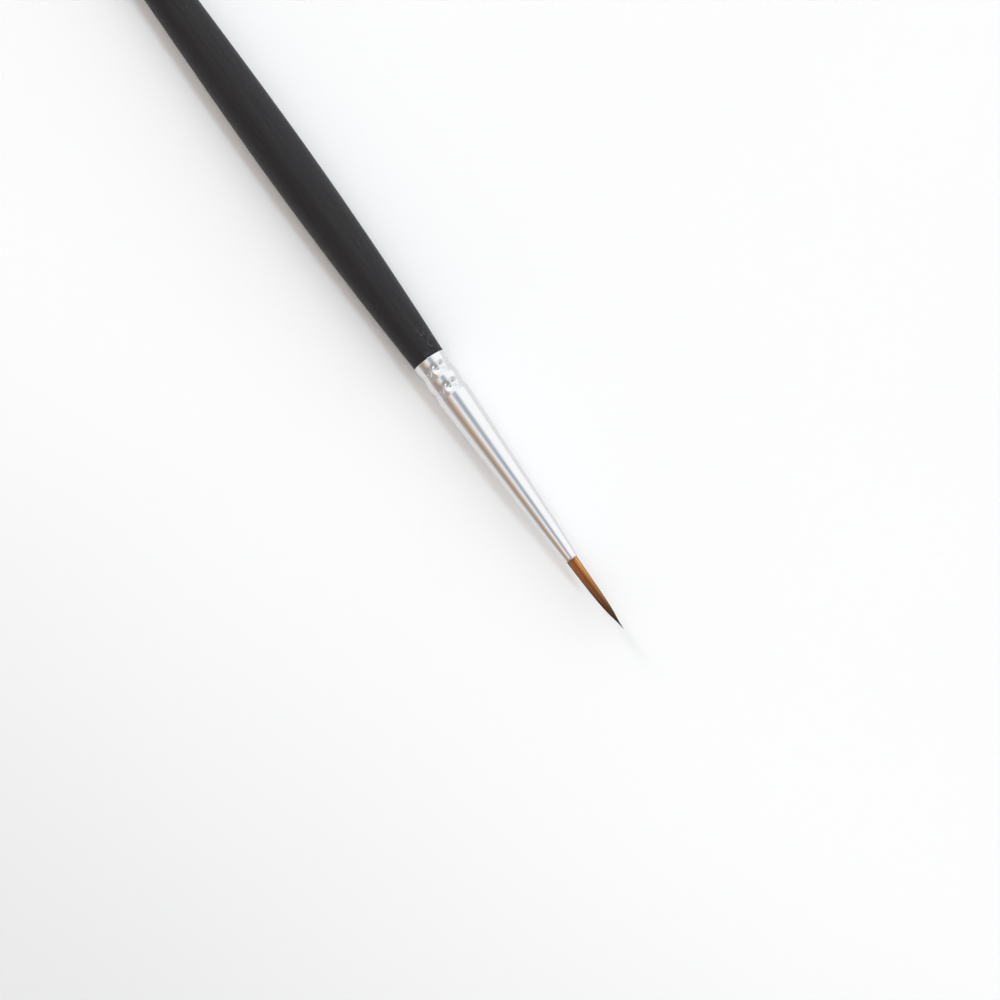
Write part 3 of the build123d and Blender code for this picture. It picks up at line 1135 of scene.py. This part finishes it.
# %% Birch
def birch():
    material, tree = new_material("turned_birch")
    rings = place(
        tree, "ShaderNodeTexWave",
        wave_type="RINGS", rings_direction="X", Vector=object_coordinates(tree, (0.03, 1, 1)),
        Scale=700.0, Distortion=3.0, Detail=3.0, Detail_Scale=1.5,
    )
    pores = place(
        tree, "ShaderNodeTexNoise",
        Vector=object_coordinates(tree, (0.05, 1, 1)), Scale=9000.0, Detail=4.0, Roughness=0.65,
    )
    year = blend(tree, rings.outputs["Fac"], paint(222, 190, 148), paint(202, 164, 118))
    dark_pore = Field(tree, pores.outputs[0]).eased(0.6, 0.75, 0.0, 0.5)
    tone = blend(tree, dark_pore, year, paint(150, 108, 70))
    relief = place(tree, "ShaderNodeBump", Height=pores.outputs[0], Strength=0.3, Distance=0.03 * MM)
    dry = Field(tree, pores.outputs[0]).eased(0.3, 0.7, 0.5, 0.68)
    finish_with(tree, Base_Color=tone, Roughness=dry, Normal=relief.outputs[0])
    return material


birch_wood = birch()
print(birch_wood.name, "is", len(birch_wood.node_tree.nodes), "nodes")

# %% [markdown]
# Glue and cement are both nearly clear resins with small bubbles. They differ in colour, in how many
# bubbles they hold and in shine.

# %% Resins
def resin(name, thin, thick, bubble_scale, shine):
    """A hard resin that runs between two colours, with bubbles just below its surface."""
    material, tree = new_material(name)
    depth = place(tree, "ShaderNodeTexNoise", Vector=object_coordinates(tree), Scale=1800.0, Detail=3.0)
    bubbles = place(tree, "ShaderNodeTexVoronoi", Vector=object_coordinates(tree), Scale=bubble_scale)
    bubble = Field(tree, bubbles.outputs["Distance"]).eased(0.12, 0.22, 1, 0)
    body = blend(tree, Field(tree, depth.outputs[0]).eased(0.3, 0.7), thin, thick)
    tone = blend(tree, bubble * 0.35, body, paint(244, 232, 206))
    height = Field(tree, depth.outputs[0]) * 0.5 - bubble * 0.5
    relief = place(tree, "ShaderNodeBump", Height=height, Strength=0.4, Distance=0.02 * MM)
    finish_with(
        tree, Base_Color=tone, Roughness=bubble * 0.2 + shine, Normal=relief.outputs[0],
        Subsurface_Weight=0.2, Subsurface_Scale=0.1 * MM,
    )
    return material


wood_glue = resin("wood_glue", paint(214, 190, 132), paint(232, 214, 164), 9000.0, 0.35)
cement = resin("root_cement", paint(150, 92, 30), paint(196, 134, 60), 6000.0, 0.2)
print(wood_glue.name, "and", cement.name, "are", len(cement.node_tree.nodes), "nodes each")

# %% [markdown]
# The three solids keep their shapes and only take on the new materials.

# %% Looks of the inner pieces
INNER_LOOKS = {"handle_core": birch_wood, "tenon_glue": wood_glue, "root_cement": cement}
for node, look in INNER_LOOKS.items():
    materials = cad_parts[node].data.materials
    materials.clear()
    materials.append(look)
print("inner pieces:", ", ".join(INNER_LOOKS))
